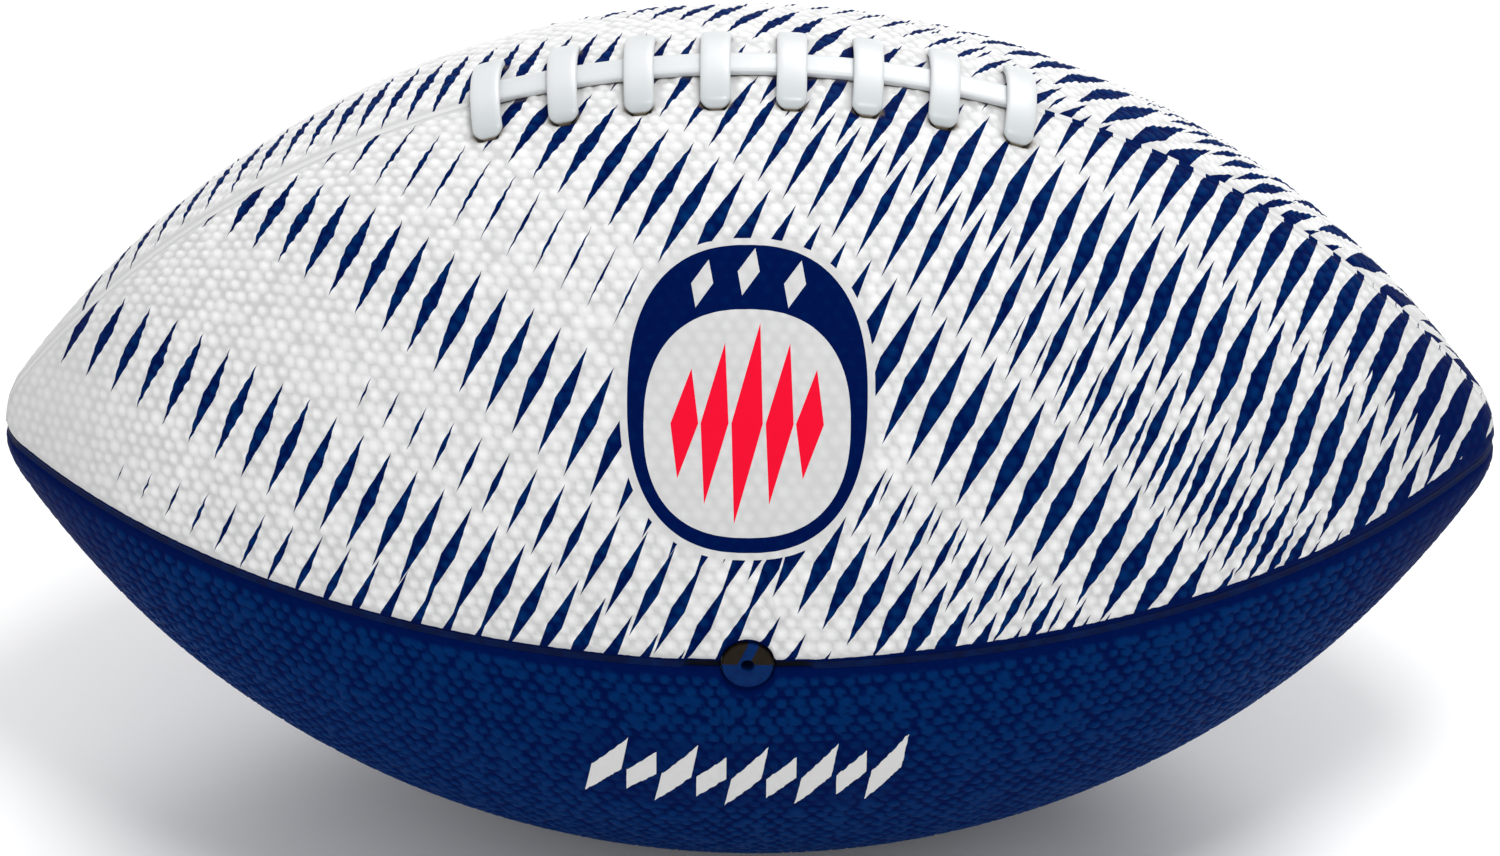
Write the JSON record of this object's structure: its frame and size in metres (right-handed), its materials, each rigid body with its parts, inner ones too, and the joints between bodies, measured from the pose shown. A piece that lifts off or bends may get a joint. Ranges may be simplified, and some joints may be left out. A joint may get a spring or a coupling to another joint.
{
  "type": "american football",
  "caption": "Junior-size laced rubber football: white printed upper panels, navy lower panels, white laces, and a needle valve in the front seam.",
  "frame": {"origin": "centre of the ball, on its long axis and half-way between the tips", "axes": "+X along the long axis, +Z through the middle of the laces, -Y through the valve"},
  "size_m": [0.265, 0.1504, 0.1538],
  "materials": {
    "white_cover": "pebbled, satin, printed with navy slivers",
    "navy_cover": "pebbled, satin",
    "seam_rubber": "smooth, matt",
    "lace_vinyl": "smooth soft vinyl, satin",
    "valve_rubber": "smooth, matt, printed navy on its lower half",
    "bladder_rubber": "smooth, dull",
    "nylon_winding": "wound nylon thread set in latex",
    "pad_canvas": "rubbered canvas"
  },
  "bodies": {
    "root": {"bladder": "bladder_rubber", "valve_body": "valve_rubber", "valve_plug": "bladder_rubber", "wound_carcass": "nylon_winding", "upper_front_panel": "white_cover", "upper_back_panel": "white_cover", "lower_front_panel": "navy_cover", "lower_back_panel": "navy_cover", "lace_seam_strip_left": "white_cover", "lace_seam_strip_right": "white_cover", "front_seam_strip_left": "seam_rubber", "front_seam_strip_right": "seam_rubber", "bottom_seam_strip": "seam_rubber", "back_seam_strip": "seam_rubber", "lace_pad": "pad_canvas", "lace_run": "lace_vinyl", "lace_1": "lace_vinyl", "lace_2": "lace_vinyl", "lace_3": "lace_vinyl", "lace_4": "lace_vinyl", "lace_5": "lace_vinyl", "lace_6": "lace_vinyl", "lace_7": "lace_vinyl", "lace_8": "lace_vinyl"}
  },
  "joints": []
}
